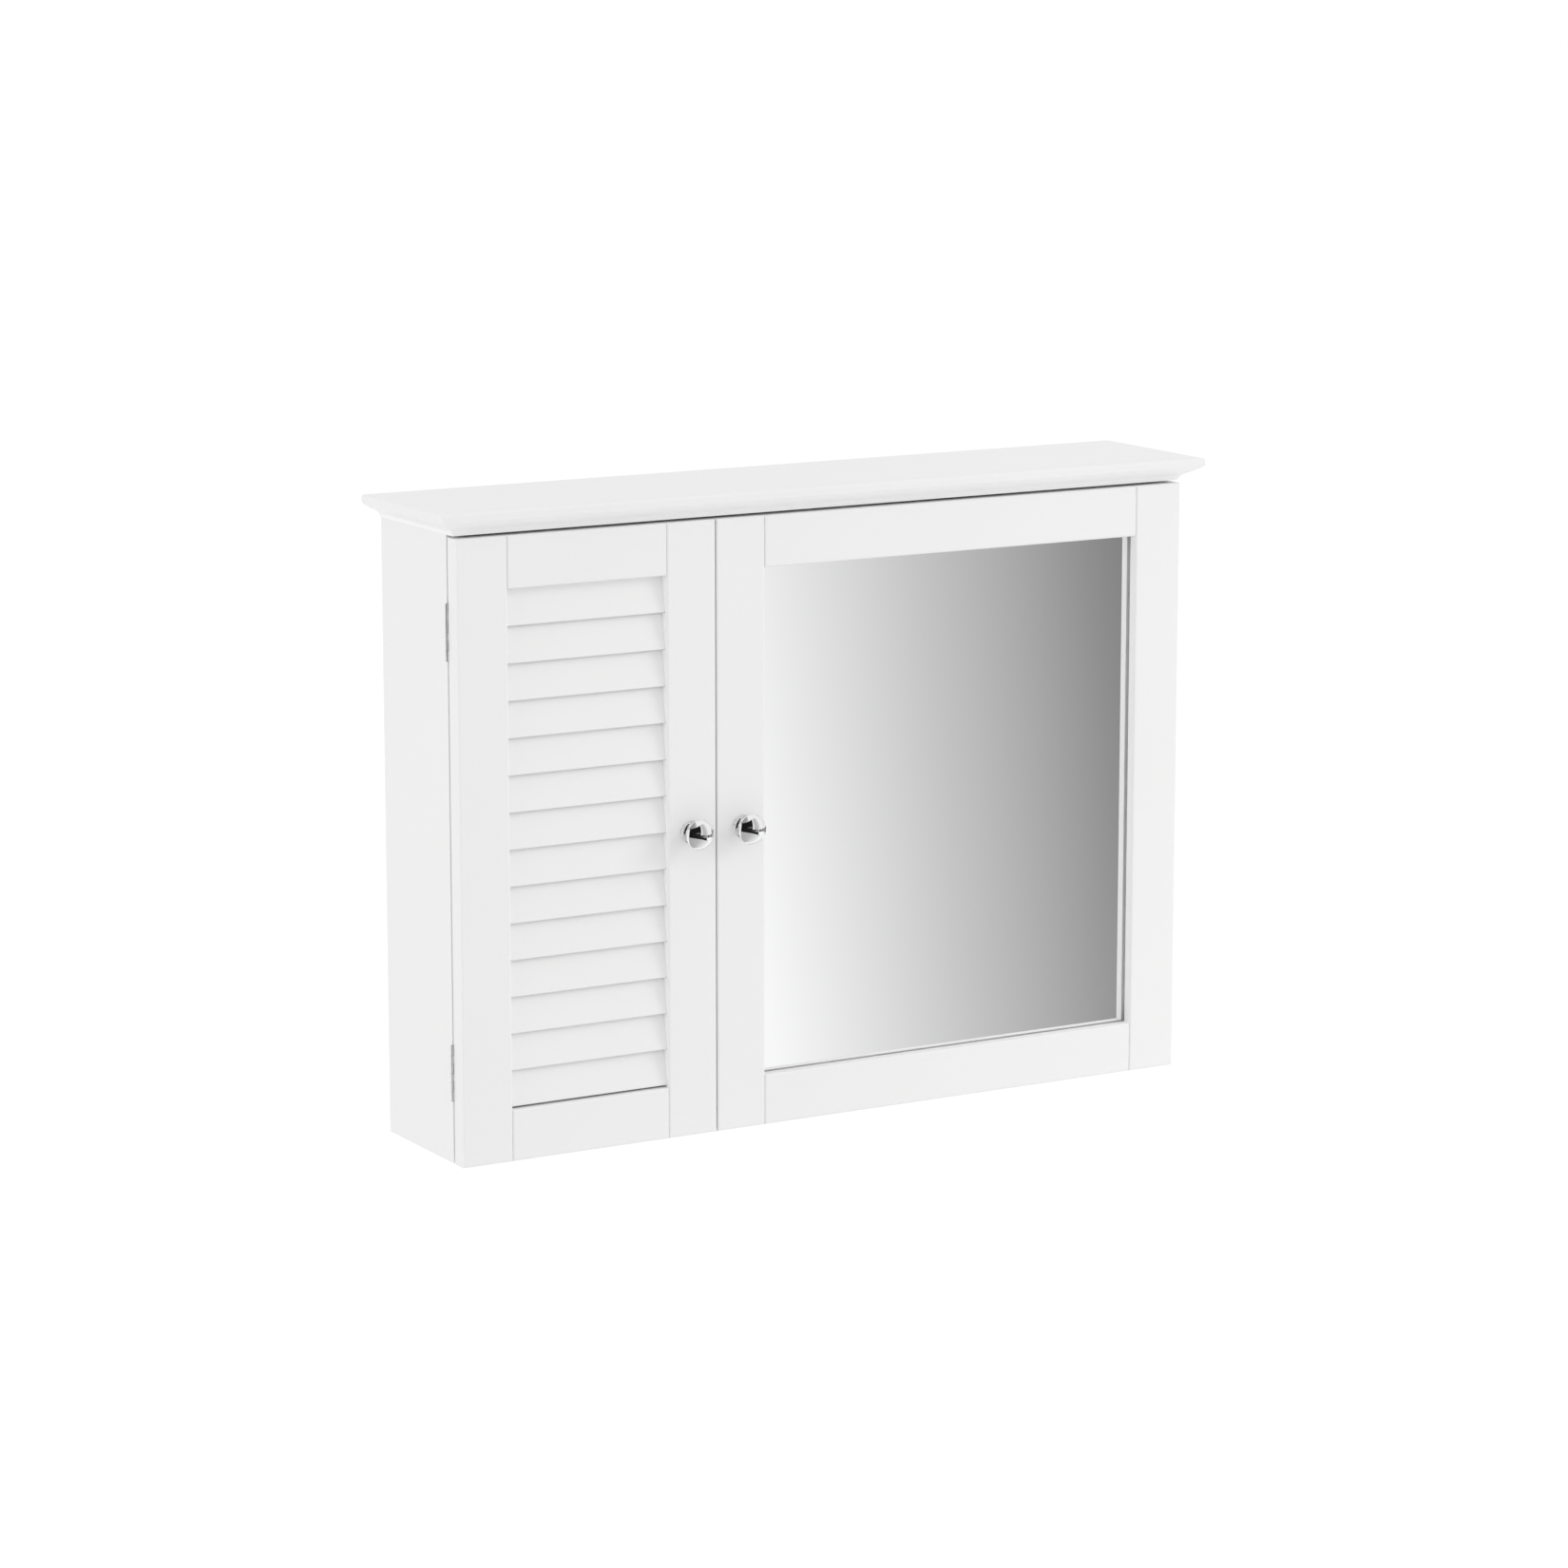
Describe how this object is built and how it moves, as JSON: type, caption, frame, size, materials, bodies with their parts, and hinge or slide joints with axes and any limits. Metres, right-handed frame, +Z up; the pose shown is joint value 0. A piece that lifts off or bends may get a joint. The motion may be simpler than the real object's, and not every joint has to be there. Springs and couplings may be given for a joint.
{
  "type": "bathroom wall cabinet",
  "caption": "Shallow white wall cabinet with a moulded top, a louvred door and a mirror door on butt hinges, chrome mushroom knobs and shelves on pins inside.",
  "frame": {"origin": "on the wall plane, midway between the wall-screw holes of the hanging rail", "axes": "+X to the right seen from the front, +Y from the front towards the wall, +Z up"},
  "size_m": [0.677, 0.1478, 0.498],
  "materials": {
    "white_paint": "satin white paint on fibreboard",
    "white_board": "white-faced hardboard",
    "brown_board": "bare hardboard",
    "beech": "bare beech",
    "chrome": "polished",
    "bright_steel": "bright plated",
    "zinc": "dull cast zinc",
    "white_plastic": "moulded",
    "magnet": "sintered ferrite",
    "rubber": "clear soft rubber",
    "glass": "clear float glass",
    "mirror": "silvered"
  },
  "bodies": {
    "carcass": {"left_side_panel": "white_paint", "right_side_panel": "white_paint", "cornice_top": "white_paint", "bottom_panel": "white_paint", "back_panel": "white_board", "hanging_rail": "white_paint", "lower_shelf": "white_paint", "upper_shelf": "white_paint", "shelf_pins": "bright_steel", "cam_locks": "zinc", "cam_bolts": "zinc", "carcass_dowels": "beech", "back_panel_nails": "bright_steel", "catch_housings": "white_plastic", "catch_magnets": "magnet", "carcass_plate_screws": "bright_steel", "left_hinge_frame_leaves": "bright_steel", "right_hinge_frame_leaves": "bright_steel", "left_hinge_pins": "bright_steel", "right_hinge_pins": "bright_steel"},
    "left_door": {"left_door_hinge_stile": "white_paint", "left_door_meeting_stile": "white_paint", "left_door_top_rail": "white_paint", "left_door_bottom_rail": "white_paint", "left_door_dowels": "beech", "left_knob": "chrome", "left_knob_screw": "zinc", "left_strike_plate": "bright_steel", "left_hinge_door_leaves": "bright_steel", "left_door_plate_screws": "bright_steel", "left_door_bumpers": "rubber", "louvre_slat_01": "white_paint", "louvre_slat_02": "white_paint", "louvre_slat_03": "white_paint", "louvre_slat_04": "white_paint", "louvre_slat_05": "white_paint", "louvre_slat_06": "white_paint", "louvre_slat_07": "white_paint", "louvre_slat_08": "white_paint", "louvre_slat_09": "white_paint", "louvre_slat_10": "white_paint", "louvre_slat_11": "white_paint", "louvre_slat_12": "white_paint", "louvre_slat_13": "white_paint", "louvre_slat_14": "white_paint"},
    "right_door": {"right_door_hinge_stile": "white_paint", "right_door_meeting_stile": "white_paint", "right_door_top_rail": "white_paint", "right_door_bottom_rail": "white_paint", "right_door_dowels": "beech", "right_knob": "chrome", "right_knob_screw": "zinc", "right_strike_plate": "bright_steel", "right_hinge_door_leaves": "bright_steel", "right_door_plate_screws": "bright_steel", "right_door_bumpers": "rubber", "mirror_glass": "glass", "mirror_silvering": "mirror", "mirror_backing": "brown_board", "glazing_points": "bright_steel"}
  },
  "joints": [
    {"name": "left_door_hinge", "type": "hinge", "parent": "carcass", "child": "left_door", "pos_m": [-0.3234, -0.111, 0], "axis": [0, 0, -1], "range_deg": [0, 180]},
    {"name": "right_door_hinge", "type": "hinge", "parent": "carcass", "child": "right_door", "pos_m": [0.3234, -0.111, 0], "axis": [0, 0, 1], "range_deg": [0, 180]}
  ]
}
